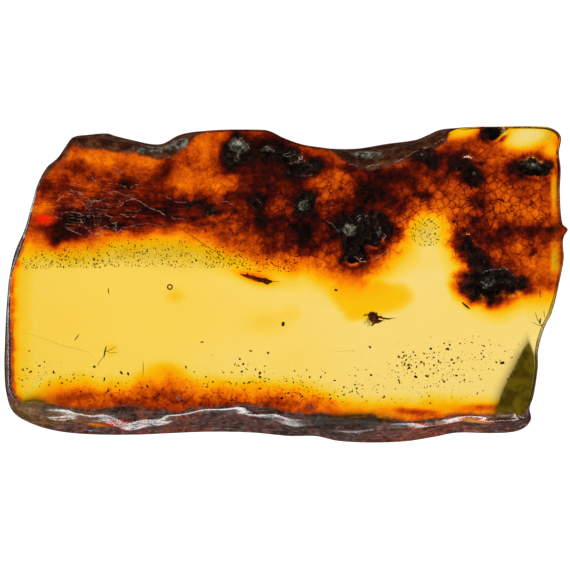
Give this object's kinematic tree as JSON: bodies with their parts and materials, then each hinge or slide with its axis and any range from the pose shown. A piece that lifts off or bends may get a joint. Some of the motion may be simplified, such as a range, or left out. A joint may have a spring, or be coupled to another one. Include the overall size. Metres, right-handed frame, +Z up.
{
  "type": "insect in amber",
  "caption": "Thick polished slab of honey-yellow natural amber with a crazed dark crust, natural edges and a small insect and bark splinter sealed inside.",
  "frame": {"origin": "middle of the slab's outline, on the surface that the slab lies on", "axes": "+X along the slab's length, towards the end that the insect's head points to; +Y across the slab, towards the crusted long edge; +Z up, out of the polished front face"},
  "size_m": [0.13, 0.0732, 0.014],
  "materials": {
    "amber": "clear honey yellow, polished on both faces, with a crazed orange-brown oxidised crust along one long edge and glossy natural edges",
    "chitin": "dark brown, slightly glossy",
    "bark": "rough, dark red-brown",
    "crust": "rough grey-brown mineral crust in the pits"
  },
  "bodies": {
    "root": {"amber_lower_half": "amber", "amber_upper_half": "amber", "insect": "chitin", "bark_splinter": "bark"}
  },
  "joints": []
}
